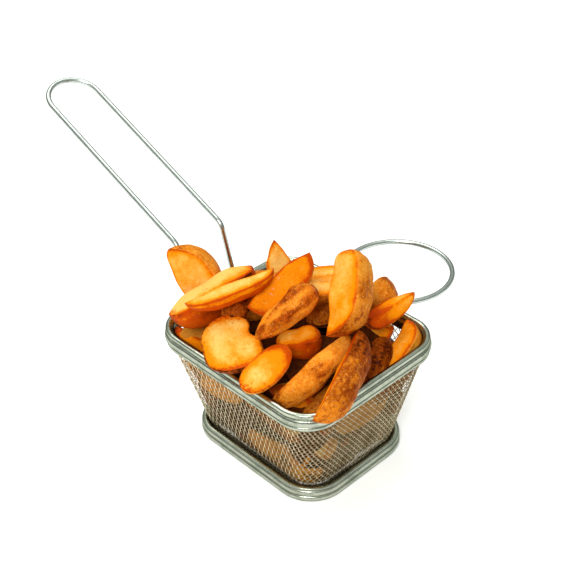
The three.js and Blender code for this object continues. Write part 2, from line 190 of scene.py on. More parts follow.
def add_node(tree, kind, output, inputs=None, **settings):
    """A node with its settings and its inputs. It gives back the wanted output."""
    node = tree.nodes.new("ShaderNode" + kind)
    for label, value in settings.items():
        setattr(node, label, value)
    fill_inputs(tree, node, inputs or {})
    return node.outputs[output]


# %% Helpers for masks, layers of colour and materials
def weighted_sum(tree, *terms):
    """Sockets and numbers, each times its weight, added up from the first to the last."""
    total = 0.0
    for value, weight in terms:
        total = add_node(tree, "Math", 0, {0: value, 1: weight, 2: total}, operation="MULTIPLY_ADD")
    return total


def cover(tree, *factors):
    """How much of a layer shows: its factors multiplied. A factor is a number, a socket, or
    (mask, low, high), a smooth step from 0 where the mask is at low to 1 where it is at high."""
    share = 1.0
    for factor in factors:
        if isinstance(factor, tuple):
            inputs = dict(zip(("Value", "From Min", "From Max"), factor))
            factor = add_node(tree, "MapRange", "Result", inputs, interpolation_type="SMOOTHSTEP")
        share = add_node(tree, "Math", 0, {0: factor, 1: share}, operation="MULTIPLY")
    return share


def layered(tree, below, *layers):
    """Colours laid one over another. Each layer is a colour and the factors of its cover."""
    for colour, *factors in layers:
        first, second = [linear(c) if isinstance(c, str) else c for c in (below, colour)]
        inputs = {0: cover(tree, *factors), 6: first, 7: second}
        below = add_node(tree, "Mix", 2, inputs, data_type="RGBA")
    return below


def new_material(name, patterns=(), stored=(), **sockets):
    """A material with plain values set on its Principled shader's own sockets, and its masks.

    A pattern is (blotch size in mm, detail, roughness): noise from 0 to 1 on Object coordinates,
    which are in metres, so its scale is 1 / size. A stored mask is a value the mesh carries.
    """
    material = bpy.data.materials.new(name)
    material.use_nodes = True
    tree = material.node_tree
    shader = tree.nodes["Principled BSDF"]
    fill_inputs(tree, shader, {label.replace("_", " "): value for label, value in sockets.items()})
    coords = add_node(tree, "TexCoord", "Object")
    masks = [add_node(tree, "TexNoise", "Fac", {"Vector": coords, "Scale": 1 / (size * MM),
                                                "Detail": detail, "Roughness": roughness})
             for size, detail, roughness in patterns]
    masks += [add_node(tree, "Attribute", "Fac", attribute_name=label) for label in stored]
    return material, tree, shader, masks


# %% [markdown]
# ## Rolled stainless steel
#
# The rim and the foot are strips of thin stainless steel, bright rolled and then beaded between
# rollers. The metal is nearly neutral, with a slightly warm grey, and small rubs soften its
# reflections in places. So the roughness wanders over a few millimetres, and a very low relief
# lets the reflections wobble, as they do in thin sheet. The bottom of each groove is painted
# dark as painted shade, by a value that the mesh stores.

# %% Material: stainless steel, bright rolled
# Painted shade, laid in the bottom of the grooves of the bands.
SEAM_SHADE = "#272C28"


def steel_material(name, colour, worn_colour, roughness, dent, edge_tint="#9DA396"):
    """Steel with clouds of another colour where it is worn, and dents of a depth in mm."""
    material, tree, shader, (cloud, rubs, groove_shade) = new_material(
        name, ((9, 3, 0.55), (0.8, 5, 0.7)), ["groove_shade"], Metallic=1.0,
        Specular_Tint=linear(edge_tint))
    worn = cover(tree, (weighted_sum(tree, (cloud, 0.7), (rubs, 0.3)), 0.42, 0.68))
    height = weighted_sum(tree, (cloud, 0.85), (rubs, 0.15))
    fill_inputs(tree, shader, {
        "Base Color": layered(tree, colour, (worn_colour, worn), (SEAM_SHADE, groove_shade)),
        "Roughness": weighted_sum(tree, (worn, 0.12), (rubs, 0.06), (roughness, 1.0)),
        "Normal": add_node(tree, "Bump", "Normal", {"Height": height, "Distance": dent * MM})})
    return material


band_steel = steel_material("rolled_stainless_steel", "#B9BFB0", "#929A8B", 0.15, 0.3)

# %% [markdown]
# ## Drawn wire and woven wire
#
# The handle and the loop are drawn wire, tumbled to an even soft shine. The sleeve is woven from
# wire half a millimetre thick. Its metal is the same, but the weave scatters the light and hot fat
# tans it, so it is rougher and yellower. The rising wires get a darker copy of it, painted shade
# that keeps them dimmer than the steep ones.

# %% Materials: drawn wire and woven wire
wire_steel = steel_material("drawn_stainless_wire", "#C6CECA", "#AFB8B3", 0.2, 0.12, "#A9B2AE")
woven_steel = steel_material("woven_stainless_wire", "#F4E8CE", "#D2C19C", 0.3, 0.05)
# A darker copy of the woven steel: painted shade that keeps the rising wires dim.
shaded_wire_steel = steel_material("woven_stainless_wire_shaded", "#C2B592", "#908060", 0.34, 0.05)
print("steels:", band_steel.name, wire_steel.name, woven_steel.name, shaded_wire_steel.name)

# %% [markdown]
# ## Roasted potato
#
# A roasted wedge has two kinds of surface. The cut faces are starchy flesh: butter yellow, golden,
# orange or rust, with a brown line along every edge and at the tips. The back is skin: golden to
# red-brown, mottled, finely blistered and flaking in places, and its pale flaked spots are partly
# painted glints. A little light passes through flesh, and oil gives a soft broken shine. What a
# point looks like is worked out with the shape and stored on it, so one material does for every
# wedge: skin (0 flesh, 1 skin), brown (browned edges), tone (pale to rust flesh), toast (golden to
# dark skin) and gloom (painted shade: how deep in the heap's shade it is).
# Fine noise breaks up each border.

# %% Material: roasted potato
POTATO_RELIEF = 0.7
(potato, tree, shader,
 (patches, mottles, grain, specks, flakes_and_glints, skin_part, brown, tone, toast, gloom)) = new_material(
    "roasted_potato",
    ((7.0, 3, 0.55), (2.2, 3, 0.6), (0.9, 3, 0.65), (0.9, 1, 0.55), (1.0, 2, 0.55)),
    ("skin", "brown", "tone", "toast", "gloom"), IOR=1.4, Specular_IOR_Level=0.04,
    Coat_Roughness=0.2, Subsurface_Weight=0.04, Subsurface_Radius=(1.0, 0.4, 0.08),
    Subsurface_Scale=1.0 * MM)

# Flesh: butter yellow, golden, orange, rust and nearly black, then the browned edges.
yellowing = weighted_sum(tree, (tone, 1.0), (patches, 0.9), (mottles, 0.4), (grain, 0.35),
                         (-0.82, 1.0))
browning = weighted_sum(tree, (brown, 1.0), (mottles, 1.2), (grain, 1.2), (-1.2, 1.0))
flesh = layered(tree, "#FBC86A", ("#FCAD3C", (yellowing, 0.0, 0.35)),
                ("#F98E04", (yellowing, 0.25, 0.62)), ("#C64602", (yellowing, 0.65, 1.2)),
                ("#561A04", (yellowing, 1.3, 1.9)), ("#D05506", (browning, 0.2, 0.75)),
                ("#7A2503", (browning, 0.7, 1.2)))

# Skin: golden, tan, red-brown and burnt.
darkness = weighted_sum(tree, (toast, 1.0), (patches, 0.9), (mottles, 1.4), (grain, 1.1),
                        (-1.7, 1.0))
skin = layered(tree, "#F2A436", ("#DF7F18", (darkness, -0.3, 0.4)),
               ("#A04606", (darkness, 0.35, 1.0)), ("#421203", (darkness, 0.95, 1.6)))

# Both: skin over flesh with a ragged border, brown specks, pale flaked spots on light skin that
# are partly painted glints, and gloom, which is painted shade.
border = weighted_sum(tree, (skin_part, 1.0), (mottles, 0.8), (-0.4, 1.0))
colour = layered(
    tree, flesh, (skin, (border, 0.3, 0.7)), ("#7A3208", 0.4, (specks, 0.68, 0.76)),
    ("#FBBE66", 0.38, (flakes_and_glints, 0.55, 0.68), (skin_part, 0.15, 0.45), (darkness, 1.3, 0.6)),
    ("#1C0E06", gloom))
height = weighted_sum(tree, (mottles, 0.5), (grain, 0.35), (specks, 0.15))
fill_inputs(tree, shader, {
    "Base Color": colour,
    "Roughness": weighted_sum(tree, (grain, 0.3), (0.35, 1.0)),
    "Coat Weight": cover(tree, 0.3, (mottles, 0.6, 0.72)),
    "Normal": add_node(tree, "Bump", "Normal", {"Height": height, "Distance": POTATO_RELIEF * MM})})
print("potato material with", len(tree.nodes), "nodes")

# %% [markdown]
# ## The basket's outline
#
# Seen from above the basket is a rectangle with round corners, larger at the rim than at the foot.
# Any such outline is a rectangle of corner centres pushed out along a normal, so one function gives
# those centres and normals at chosen places, and an inset just shortens the push.

# %% Outline helper
RIM = dict(half_x=60.6, half_y=51.9, corner=19.7)
FOOT = dict(half_x=51.0, half_y=41.4, corner=22.0)
SLEEVE_TOP = dict(half_x=57.0, half_y=48.3, corner=16.1)
SLEEVE_BASE = dict(half_x=45.4, half_y=36.0, corner=15.0)
# Breaks of the outline, as shares of its length: side, corner, side, corner and so on.
SIDES = np.array([71.3, 24.4, 53.2, 24.4, 71.3, 24.4, 53.2, 24.4])
GIRTH = SIDES.sum()
BREAKS = np.concatenate([[0], np.cumsum(SIDES)]) / GIRTH
CORNER_SIGNS = np.repeat([[-1, -1], [1, -1], [1, 1], [-1, 1], [-1, -1]], 2, axis=0)[1:]
CORNER_TURNS = np.radians(np.repeat([-90, 0, 90, 180, 270], 2)[:-1])


def outline(place, half_x, half_y, corner):
    """Corner centre and outward normal at each place, a share of the way round from the -Y side.
    Along a side the centre moves straight on, and round a corner the normal turns by a quarter."""
    corners = CORNER_SIGNS * [half_x - corner, half_y - corner]
    place = np.mod(place, 1.0)
    centre = np.stack([np.interp(place, BREAKS, corners[:, k]) for k in (0, 1)], axis=-1)
    turn = np.interp(place, BREAKS, CORNER_TURNS)
    return centre, np.stack([np.cos(turn), np.sin(turn)], axis=-1)


# Places round the outline, closer together in the corners.
SIDE_STATIONS, CORNER_STATIONS = 12, 26
AROUND = np.concatenate([
    np.linspace(BREAKS[k], BREAKS[k + 1], (SIDE_STATIONS, CORNER_STATIONS)[k % 2], endpoint=False)
    for k in range(8)])
print("outline:", len(AROUND), "places,", round(float(GIRTH)), "mm round")

# %% [markdown]
# A rolled band is a profile carried round the outline. It is a list of insets and heights, and each
# bead in it is half an ellipse. The export turns each piece into a solid, so the profile is closed.

# %% Band helpers
GROOVE_REACH = 0.05


def bead(groove, low, high, depth, steps=9):
    """One rolled bead: half an ellipse from the groove below it to the groove above it."""
    turn = np.linspace(0, math.pi, steps + 1)[1:]
    return np.stack([groove - depth * np.sin(turn) ** 0.8,
                     low + (high - low) * (1 - np.cos(turn)) / 2], axis=-1)


def band_piece(name, node, shape, profile, grooves, shade=1.0, waver=0.0):
    """A band: centre + (corner - inset) times normal, at the profile's heights. Bumps move it in
    by the waver, a share of its place. Its stored value is painted shade: the shade in a groove
    and 0 elsewhere."""
    centre, normal = outline(AROUND, **shape)
    push = (shape["corner"] - profile[:, 0])[None, :, None]
    flat = centre[:, None, :] + push * normal[:, None, :]
    height = np.broadcast_to(profile[:, 1][None, :, None], (*flat.shape[:2], 1))
    points = np.concatenate([flat, height], axis=-1)
    points[..., :2] *= 1 - waver * np.abs(bumps(points, 22, 3))[..., None]
    rows, columns = points.shape[:2]
    gap = np.abs(profile[None] - np.array(grooves)[:, None]).max(axis=-1).min(axis=0)
    groove_shade = np.tile(shade * (gap < GROOVE_REACH), rows)
    band = add_piece(name, points.reshape(-1, 3), grid_faces(rows, columns, close_rows=True),
                     values=dict(groove_shade=groove_shade), material=band_steel)
    dress(band, "steel", node)


# %% [markdown]
# ## Rim band
#
# The rim is one strip rolled to three beads: a round top roll, a broad middle bead and a thin lower
# lip, with sharp grooves between them that show as dark lines. Inside, the strip turns down over
# the mesh as a plain skirt.

# %% Rim band
GROOVE = 1.7
rim_profile = np.concatenate([
    [[3.3, 62.5], [GROOVE, 62.5]],
    bead(GROOVE, 62.5, 65.0, 0.95),
    bead(GROOVE, 65.0, 69.7, 1.7, steps=12),
    bead(GROOVE, 69.7, 72.9, 0.95)[:7],
    [[1.5, 72.75], [2.0, 73.0], [2.6, 73.0], [3.2, 72.75], [3.7, 72.3], [4.2, 71.7], [5.0, 71.3],
     [5.3, 70.9], [5.3, 64.0], [5.1, 63.6], [4.7, 63.6], [4.7, 70.2], [3.3, 70.2]],
])
rim_grooves = [[GROOVE, 62.5], [GROOVE, 65.0], [GROOVE, 69.7], [3.3, 62.5], [5.0, 71.3]]
band_piece("rim_beads", "rim_band", RIM, rim_profile, rim_grooves, waver=0.0011)

# %% [markdown]
# ## Foot ring
#
# The foot is a second beaded strip. Its inner edge stands a few millimetres off the mesh, which
# leaves a dark channel all round, and a ledge inside carries the mesh floor.

# %% Foot ring
foot_profile = np.concatenate([
    [[2.6, 0.0], [0.9, 0.0], [0.5, 0.3]],
    bead(1.3, 0.4, 3.6, 1.3, steps=10),
    bead(1.3, 3.6, 7.2, 1.1, steps=10),
    bead(1.5, 7.2, 8.6, 0.5, steps=5),
    [[1.9, 8.8], [2.8, 8.8], [3.5, 8.5], [3.8, 7.8], [3.8, 4.2], [9.0, 4.2], [9.0, 3.1],
     [3.0, 3.1]],
])
foot_grooves = [[1.3, 3.6], [1.3, 7.2], [3.8, 7.8], [3.8, 4.2], [9.0, 4.2]]
band_piece("foot_beads", "foot_ring", FOOT, foot_profile, foot_grooves, shade=0.6)

# %% [markdown]
# ## Woven sleeve
#
# The sleeve is square mesh, about two and a half millimetres from wire to wire, pulled obliquely
# round the basket, so that its squares turn into diamonds. Only real wires let light through the
# holes. Each wire is a line on the unrolled sleeve, whose two directions are the place round the
# outline and the height up the wall. The slopes of both sets change from side to side.

# %% Sleeve surface
WALL_LOW, WALL_HIGH = 6.9, 62.5
MESH_LOW, MESH_HIGH = 4.9, 66.0
FLOOR_TURN_IN, OUTWARD_DROP = 3.0, -0.2


def sleeve(place, height):
    """Point and outward direction on the sleeve: the base and top outlines blended by height.
    Below the straight wall the surface turns in by a quarter of an ellipse to meet the floor."""
    blend = (height - WALL_LOW) / (WALL_HIGH - WALL_LOW)
    blend = np.where(height > WALL_HIGH, 1.0, blend)[..., None]
    low, low_normal = outline(place, **SLEEVE_BASE)
    high, high_normal = outline(place, **SLEEVE_TOP)
    below = np.clip((WALL_LOW - height) / (WALL_LOW - MESH_LOW), 0, 1)
    turn_in = FLOOR_TURN_IN * (1 - np.sqrt(np.maximum(1 - below**2, 0)))[..., None]
    start = low + (SLEEVE_BASE["corner"] - turn_in) * low_normal
    stop = high + SLEEVE_TOP["corner"] * high_normal
    flat = start + np.maximum(blend, 0) * (stop - start)
    drop = np.full((*np.shape(height), 1), OUTWARD_DROP)
    outward = unit(np.concatenate([low_normal, drop], axis=-1))
    return np.concatenate([flat, height[..., None]], axis=-1), outward


# %% Slopes of the two sets of wires
# Slope of each set at the middle of each side and corner, in degrees from level, and how far apart
# its wires are in mm, upwards for the rising ones and round the basket for the steep ones.
RISE_STEP, STEEP_STEP = 3.2, 2.75
SLOPE_PLACES = (BREAKS[:-1] + BREAKS[1:]) / 2
RISING = np.array([39.5, 48.0, 34, 36, 40, 44, 34, 31])
STEEP = np.array([92.0, 114, 128, 131, 116, 106, 96, 87])


def slope_at(place, slopes):
    """Tangent of the slope: degrees blended between the middles, all the way round."""
    return np.tan(np.radians(np.interp(place, SLOPE_PLACES, slopes, period=1.0)))


# How high a rising wire has climbed at each fine place: the sum of slope times length so far.
FINE = 4000
fine = np.linspace(0, 1, FINE + 1)
middles = fine[:-1] + 0.5 / FINE
climb = np.concatenate([[0], np.cumsum(slope_at(middles, RISING)) * GIRTH / FINE])
climb_round = climb[-1]
rising_count = 2 * round(climb_round / RISE_STEP / 2)
rising_step = climb_round / rising_count
steep_count = 2 * round(GIRTH / STEEP_STEP / 2)
steep_step = 1 / steep_count
print("rising wires", rising_count, "a turn, steep wires", steep_count)

# %% [markdown]
# The two sets pass over and under each other. The weave is a cosine across the wall that changes
# sign from each crossing to the next, so each wire has to know which wire of the other set it
# meets. On a wall that widens upwards, steep wires drawn with a fixed slope would bend. A small
# square of the height takes that back, and they stay straight and parallel.

# %% Where the wires run
MIDWAY, LEAN_BACK = 38.0, 0.0056


def climbed(place):
    """Height that a rising wire has gained at a place, turns of the basket included."""
    turns = np.floor(place)
    return np.interp(place - turns, fine, climb) + turns * climb_round


def rising_index(place, height):
    """Which rising wire passes here, as a fraction: (height - climb) / step."""
    return (height - climbed(place)) / rising_step


def steep_shift(start, height):
    """How far round a steep wire has moved from its start: lean / slope, where lean is the height
    above the middle less a small square of it, and the slope is the one at the start."""
    above = height - MIDWAY
    return (above - LEAN_BACK * above**2) * (1 / slope_at(start, STEEP) / GIRTH)


def steep_index(place, height):
    """Which steep wire passes here: its place halfway up the wall, closed in on in steps."""
    start = place
    for _ in range(14):
        start = place - steep_shift(start, height)
    return start / steep_step


# %% [markdown]
# Each set of wires is made in one go. The stations of all its wires form one long array, a ring of
# five points goes round each, and a ring is joined only to the next ring of the same wire.

# %% Wires along many paths at once
SIDES_OF_WIRE, WIRE_RADIUS = 5, 0.235


def rings_round(path, ahead, flat, radius, turn):
    """Circles square to a path: point + radius times (cosine across + sine out), where across is
    ahead times flat and out is across times ahead, as cross products of length one."""
    ahead = unit(ahead)
    across = unit(np.cross(ahead, flat))
    out = np.cross(across, ahead)
    ring = (np.cos(turn)[None, :, None] * across[:, None]
            + np.sin(turn)[None, :, None] * out[:, None])
    return path[:, None] + radius * ring


def wires(name, stations, outward, lines, material):
    """Tubes along many paths: stations and outward directions (n, 3), lines the wire of each."""
    ahead = np.gradient(stations, axis=0)
    same = lines[1:] == lines[:-1]
    ahead[:-1][~same] = (stations - np.roll(stations, 1, axis=0))[:-1][~same]
    ahead[1:][~same] = (np.roll(stations, -1, axis=0) - stations)[1:][~same]
    corner = np.arange(SIDES_OF_WIRE)
    turn = 2 * np.pi * (corner + 0.5) / SIDES_OF_WIRE
    points = rings_round(stations, ahead, outward, WIRE_RADIUS, turn)
    quads = grid_faces(len(stations), SIDES_OF_WIRE).reshape(-1, SIDES_OF_WIRE, 4)[same]
    breaks = np.where(~same)[0]
    first = np.concatenate([[0], breaks + 1])[:, None] * SIDES_OF_WIRE + corner
    last = np.concatenate([breaks, [len(stations) - 1]])[:, None] * SIDES_OF_WIRE + corner
    return add_piece(name, points.reshape(-1, 3), quads.reshape(-1, 4),
                     np.concatenate([first[:, ::-1], last]), material=material)


# %% Sleeve wires
PITCH, WEAVE = 2.45, 0.235
SAMPLE = PITCH / 4


def sleeve_wires(name, place, height, crossing, number, lines, material, *nodes):
    """Wires on the sleeve, moved out and in by weave times the cosine of half a turn for each
    crossing, with the sign changing from wire to wire."""
    points, outward = sleeve(place, height)
    wave = np.cos(np.pi * crossing) * np.where(number % 2, -1, 1)
    stations = points + outward * (WEAVE * wave - WIRE_RADIUS)[:, None]
    dress(wires(name, stations, outward, lines, material), "woven_steel", *nodes)


# Rising wires: each runs two turns round, and is cut to the heights that the mesh has.
places = np.linspace(-1.0, 1.0, int(2 * GIRTH / SAMPLE))[None, :]
grid_height = np.arange(rising_count)[:, None] * rising_step + climbed(places)
inside = (grid_height > MESH_LOW) & (grid_height < MESH_HIGH)
number, where = np.nonzero(inside)
lines = np.cumsum(np.concatenate([[0], (np.diff(number) != 0) | (np.diff(where) != 1)]))
place, height = places[0, where], grid_height[inside]
sleeve_wires("sleeve_rising_wires", place, height, steep_index(place, height), number, lines,
             shaded_wire_steel, "mesh_basket")

# Steep wires: one line through each place round the middle. One crossing more turns the wave over.
heights = np.linspace(MESH_LOW, MESH_HIGH, int((MESH_HIGH - MESH_LOW) * 1.1 / SAMPLE))
number, height = (a.ravel() for a in np.meshgrid(np.arange(steep_count), heights, indexing="ij"))
start = number * steep_step
place = start + steep_shift(start, height)
sleeve_wires("sleeve_steep_wires", place, height, rising_index(place, height) + 1, number, number,
             woven_steel)

# %% [markdown]
# ## Woven floor
#
# The floor is the same mesh, seen only from below or through the wedges. Its wires are straight and
# stop where the rounded turn of the sleeve begins.

# %% Floor wires
FLOOR_REACH, FLOOR_LINES, FLOOR_TURN, FLOOR_EDGE = 62.0, 25, 0.45, 2.6


def beyond_straights(points, half_x, half_y, corner):
    """How far points are past an outline's corner centres: |x| - (half_x - corner) and the same
    for y, or 0. The outline is where these two are a corner's radius long."""
    inner = np.stack([half_x - corner, half_y - corner], axis=-1)
    return np.maximum(np.abs(points[..., :2]) - inner, 0)


def floor_wires(name, turned, sign):
    """Straight parallel wires turned by an angle, with the cosine weave of the other set."""
    line, u = np.meshgrid(np.arange(-FLOOR_LINES, FLOOR_LINES + 1),
                          np.arange(-FLOOR_REACH, FLOOR_REACH, PITCH / 2), indexing="ij")
    v = line * PITCH
    x, y = u * np.cos(turned) - v * np.sin(turned), u * np.sin(turned) + v * np.cos(turned)
    wave = sign * np.cos(np.pi * u / PITCH) * np.where(line % 2, -1, 1)
    points = np.stack([x, y, MESH_LOW + WIRE_RADIUS + WEAVE * wave], axis=-1)
    reach = np.linalg.norm(beyond_straights(points, **SLEEVE_BASE), axis=-1)
    kept = reach < SLEEVE_BASE["corner"] - FLOOR_EDGE
    points = points[kept]
    outward = np.broadcast_to([0.0, 0.0, 1.0], points.shape)
    dress(wires(name, points, outward, line[kept], woven_steel), "woven_steel")


floor_wires("floor_wires_one", FLOOR_TURN, 1)
floor_wires("floor_wires_two", FLOOR_TURN + math.pi / 2, -1)

# %% [markdown]
# ## Handle and helper loop
#
# Each is one piece of 3 mm wire bent in a jig. A path of straight runs and round bends is worked
# out, and a circle is carried along it. The tips are rounded off by letting the circle shrink.

# %% Wire paths
ROUND_WIRE = 1.5
STAND_OFF = 0.3
SIDE_X = RIM["half_x"] + ROUND_WIRE + STAND_OFF
SIDE_Y = RIM["half_y"] + ROUND_WIRE + STAND_OFF
UPRIGHT = np.array([0, 0, 1.0])


def bend(before, corner, after, radius, steps=14):
    """Points of a round bend, the arc that touches both straight runs: its hub, less radius times
    cosine inwards, plus radius times sine forwards."""
    into, away = unit(corner - before), unit(after - corner)
    half = math.acos(float(np.clip(into @ away, -1, 1))) / 2
    inward, forward = unit(away - into), unit(into + away)
    hub = corner + inward * radius / math.cos(half)
    turn = np.linspace(-half, half, steps)[:, None]
    return hub - radius * np.cos(turn) * inward + radius * np.sin(turn) * forward


def round_wire(name, node, path, flat, sides=14, end=0.02):
    """A round wire along a path. Rings stand square to the path, about one for each millimetre,
    and the last few shrink to a tip as a circle does."""
    length = np.concatenate([[0], np.cumsum(np.linalg.norm(np.diff(path, axis=0), axis=1))])
    full = length[-1]
    tip = ROUND_WIRE * (1 - np.cos(np.linspace(0, np.pi / 2, 6)))[1:]
    run = np.linspace(ROUND_WIRE * 1.3, full - ROUND_WIRE * 1.3, int(full))
    places = np.concatenate([[end], tip, run, full - tip[::-1], [full - end]])
    places = np.unique(np.clip(places, end, full - end))
    path = np.stack([np.interp(places, length, path[:, k]) for k in range(3)], axis=-1)
    to_end = np.minimum(np.minimum(places, full - places) / ROUND_WIRE, 1)
    thick = ROUND_WIRE * np.sqrt(np.clip(1 - (1 - to_end) ** 2, 0.01, 1))
    turn = 2 * np.pi * np.arange(sides) / sides
    rings = rings_round(path, np.gradient(path, places, axis=0), flat, thick[:, None, None], turn)
    points = np.concatenate([rings.reshape(-1, 3), path[[0, -1]]])
    wire = add_piece(name, points, grid_faces(len(path), sides), cap_faces(len(path), sides),
                     material=wire_steel)
    dress(wire, "steel", node)


# %% Handle
HANDLE_SHIFT, HALF_GAP = -5.0, 15.7
bend_at, end_at = np.array([-70.1, 0, 104.2]), np.array([-191.2, 0, 158.2])
sideways = np.array([0, 1.0, 0])
slope = unit(end_at - bend_at)
hub = end_at - slope * HALF_GAP
turn = np.linspace(0, np.pi, 40)[:, None]
end_arc = hub - np.cos(turn) * HALF_GAP * sideways + np.sin(turn) * HALF_GAP * slope


def handle_leg(y):
    """One leg from its foot on the rim to the start of the round end, at the given side."""
    foot, knee = np.array([-SIDE_X, 0, 63.0]), np.array([-SIDE_X, 0, 73.0])
    leg = [[foot], bend(foot, knee, bend_at, 20), bend(knee, bend_at, hub, 8)]
    return np.concatenate(leg) + y * sideways


handle_path = np.concatenate([handle_leg(-HALF_GAP), end_arc, handle_leg(HALF_GAP)[::-1]])
round_wire("handle_wire", "handle", handle_path + HANDLE_SHIFT * sideways,
           np.cross(sideways, slope))

# %% [markdown]
# ## Welds
#
# The wires are spot welded to the rim, and each weld leaves a small bead between wire and band,
# tall at the handle's legs and long where the loop's ends meet.

# %% Weld beads on the handle
def weld(name, middle, size, rows=14, columns=20):
    """A weld bead: an ellipsoid with square shoulders and a few bumps, centred on the joint."""
    down = np.linspace(0.12, np.pi - 0.12, rows)[:, None, None]
    turn = (2 * np.pi * np.arange(columns) / columns)[None, :, None]
    wide, tall = np.sin(down) ** 0.8, np.cos(down) * np.ones_like(turn)
    ball = np.concatenate([wide * np.cos(turn), wide * np.sin(turn), tall], axis=-1)
    points = np.concatenate([ball.reshape(-1, 3), [UPRIGHT, -UPRIGHT]]) * size
    points = points * (1 + 0.06 * bumps(points, 1.6, 3)[:, None]) + middle
    dress(add_piece(name, points, grid_faces(rows, columns), cap_faces(rows, columns),
                    material=wire_steel), "steel")


for name, side in (("weld_handle_near", -HALF_GAP), ("weld_handle_far", HALF_GAP)):
    weld(name, [-RIM["half_x"] - 0.2, HANDLE_SHIFT + side, 67.2], [1.0, 1.9, 3.4])

# %% [markdown]
# The helper loop is most of a circle. Its two ends turn in along the rim and nearly meet, under one
# long weld.

# %% Helper loop
LOOP_RADIUS, LOOP_HEIGHT, LOOP_HUB, FOOT_BEND, FOOT_START = 31.3, 70.0, 29.1, 5.0, 1.0
hub_y = RIM["half_y"] + LOOP_HUB
opening = math.acos((hub_y - SIDE_Y - FOOT_BEND) / (LOOP_RADIUS - FOOT_BEND))
turn = np.linspace(-np.pi / 2 + opening, 1.5 * np.pi - opening, 120)
circle = np.stack([LOOP_RADIUS * np.cos(turn), hub_y + LOOP_RADIUS * np.sin(turn)], axis=-1)
bend_x = (LOOP_RADIUS - FOOT_BEND) * math.sin(opening)
turn = np.linspace(0, opening, 12)
foot_arc = np.stack([bend_x + FOOT_BEND * np.sin(turn), SIDE_Y + FOOT_BEND * (1 - np.cos(turn))],
                    axis=-1)
right_foot = np.concatenate([[[FOOT_START, SIDE_Y]], foot_arc])
loop_flat = np.concatenate([right_foot, circle[1:-1], right_foot[::-1] * [-1, 1]])
loop_path = np.concatenate([loop_flat, np.full((len(loop_flat), 1), LOOP_HEIGHT)], axis=-1)
round_wire("helper_loop_wire", "helper_loop", loop_path, UPRIGHT)
weld("weld_loop", [0, RIM["half_y"] + 0.2, 69.0], [4.6, 1.0, 1.5])

# %% [markdown]
# ## The form of a potato wedge
#
# A wedge is a lengthwise slice of a potato. Two cut faces meet at a ridge, and skin closes the
# back, so each cross-section is a sector: two straight sides and an arc. Along the length the
# section swells from one tip and shrinks to the other. The same few numbers set each wedge in the
# CAD source, which has flat facets. Here the same formula runs on a fine grid.

# %% Axes and section of a wedge
EDGE_SHARPNESS = 14


def wedge_axes(start, end, roll):
    """Start, length and the directions along, skinward and across: up turned about the length."""
    start, end = np.array(start, float), np.array(end, float)
    length = np.linalg.norm(end - start)
    along = (end - start) / length
    up = unit(UPRIGHT - along * along[2])
    roll = math.radians(roll)
    skinward = up * math.cos(roll) + np.cross(along, up) * math.sin(roll)
    return start, length, along, skinward, np.cross(skinward, along)


def section_sides(width, depth, edge, c, n):
    """Height of the inner point over the ridge, and 1 / distance from it to each of the three
    sides in the direction (c, n): two straight cuts at half the wedge's angle, and an ellipse."""
    half, core = math.atan2(width / 2, edge * depth), 0.45 * depth
    face, skin_half = core * math.sin(half), width / 2 / math.sqrt(1 - edge * edge)
    right = np.maximum(math.cos(half) * c - math.sin(half) * n, 0) / face
    left = np.maximum(-math.cos(half) * c - math.sin(half) * n, 0) / face
    qa, qb = (c / skin_half) ** 2 + (n / depth) ** 2, 2 * core * n / depth**2
    skin = 2 * qa / (-qb + np.sqrt(qb * qb - 4 * qa * ((core / depth) ** 2 - 1)))
    return core, right, left, skin


# %% [markdown]
# ## What roasting does to it
#
# The cut faces dry and shrink, and a crisp brown line and a wider golden band form along the skin,
# along the ridge and at the tips. The skin wrinkles into folds. Where it came off, the back is
# browned flesh with the folds still in it: such a wedge has a number for peeled, the tone of that
# back, and for bare, the share of the skin that is gone.

# %% Browned edges and shades
LINE_WIDTH, RIDGE_LINE, RIDGE_BAND, TIP_REACH, USUAL_CRISP = 0.6, 0.5, 1.5, 3.5, 2.8
FOLD_FLOOR = -0.4


def near(distance, width):
    """1 at no distance, fading to 0 over about the width: exp(-(distance / width) squared)."""
    return np.exp(-((distance / width) ** 2))


def browned_edges(right, left, skin, girth, to_tip, edge, crisp):
    """Each side's share of a point, and how much line, band and tip is there.

    A share is a side's power over the sum of the powers. The distance to the edge between two
    sides is the girth times the logarithm of how much nearer one is than the other.
    """
    powers = np.stack([right, left, skin]) ** EDGE_SHARPNESS
    shares = powers / powers.sum(axis=0) * np.ones_like(to_tip)
    to_skin = np.abs(np.log(np.maximum(np.maximum(right, left), 1e-9) / skin)) * girth
    to_ridge = np.abs(np.log(np.maximum(right, 1e-3) / np.maximum(left, 1e-3))) * girth
    bent = np.clip((edge - 0.1) / 0.35, 0, 1)
    line = near(to_skin, LINE_WIDTH) + 0.7 * bent * near(to_ridge, RIDGE_LINE)
    band = near(to_skin, crisp) + 0.5 * bent * near(to_ridge, RIDGE_BAND)
    tip = min(crisp / USUAL_CRISP, 1) * near(to_tip, TIP_REACH) * np.ones_like(right)
    return shares, line, band, tip


